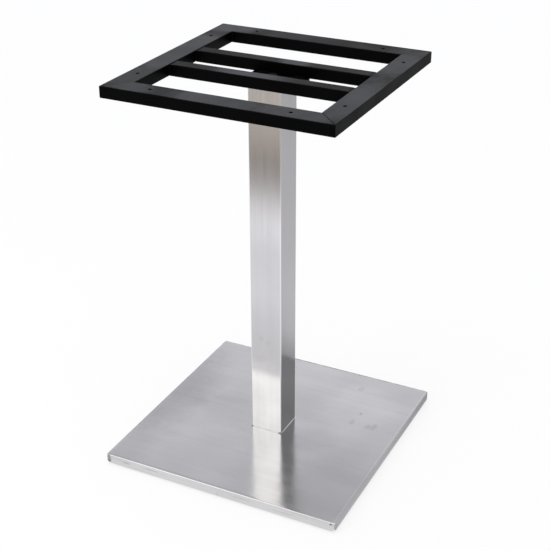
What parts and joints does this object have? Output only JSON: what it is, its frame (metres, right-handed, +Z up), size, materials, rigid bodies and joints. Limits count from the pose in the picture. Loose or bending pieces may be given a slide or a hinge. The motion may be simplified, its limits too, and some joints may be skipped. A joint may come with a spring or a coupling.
{
  "type": "dining table base",
  "caption": "Square pedestal table base: weighted stainless foot with levelling screws, square stainless column and a black welded tube frame that takes a table top.",
  "frame": {"origin": "floor level, under the middle of the column", "axes": "+Z up along the column; the crossbars of the top frame run along X"},
  "size_m": [0.45, 0.45, 0.7055],
  "materials": {
    "satin_stainless": "satin stainless steel with a fine brushed grain and faint smudges",
    "black_powder_coat": "satin black powder coat with a slight orange peel",
    "primed_steel": "matt dark primer on hot-rolled plate",
    "black_oxide": "oiled black oxide",
    "zinc_plate": "bright zinc plating",
    "black_nylon": "moulded black nylon"
  },
  "bodies": {
    "base": {"base_cover": "satin_stainless", "column_tube": "satin_stainless", "front_rail": "black_powder_coat", "right_rail": "black_powder_coat", "back_rail": "black_powder_coat", "left_rail": "black_powder_coat", "front_crossbar": "black_powder_coat", "back_crossbar": "black_powder_coat", "centre_plate": "black_powder_coat", "ballast_plate": "primed_steel", "lower_locator": "primed_steel", "upper_locator": "primed_steel", "tie_rod": "black_oxide", "tie_rod_washers": "black_oxide", "tie_rod_nuts": "black_oxide", "spring_washer": "black_oxide", "foot_weld_nuts": "zinc_plate"},
    "foot_front_left": {"foot_stud_front_left": "zinc_plate", "foot_pad_front_left": "black_nylon"},
    "foot_front_right": {"foot_stud_front_right": "zinc_plate", "foot_pad_front_right": "black_nylon"},
    "foot_back_left": {"foot_stud_back_left": "zinc_plate", "foot_pad_back_left": "black_nylon"},
    "foot_back_right": {"foot_stud_back_right": "zinc_plate", "foot_pad_back_right": "black_nylon"}
  },
  "joints": [
    {"name": "foot_front_left_screw", "type": "slide", "parent": "base", "child": "foot_front_left", "axis": [0, 0, -1], "range_m": [0, 0.009]},
    {"name": "foot_front_right_screw", "type": "slide", "parent": "base", "child": "foot_front_right", "axis": [0, 0, -1], "range_m": [0, 0.009]},
    {"name": "foot_back_left_screw", "type": "slide", "parent": "base", "child": "foot_back_left", "axis": [0, 0, -1], "range_m": [0, 0.009]},
    {"name": "foot_back_right_screw", "type": "slide", "parent": "base", "child": "foot_back_right", "axis": [0, 0, -1], "range_m": [0, 0.009]}
  ]
}
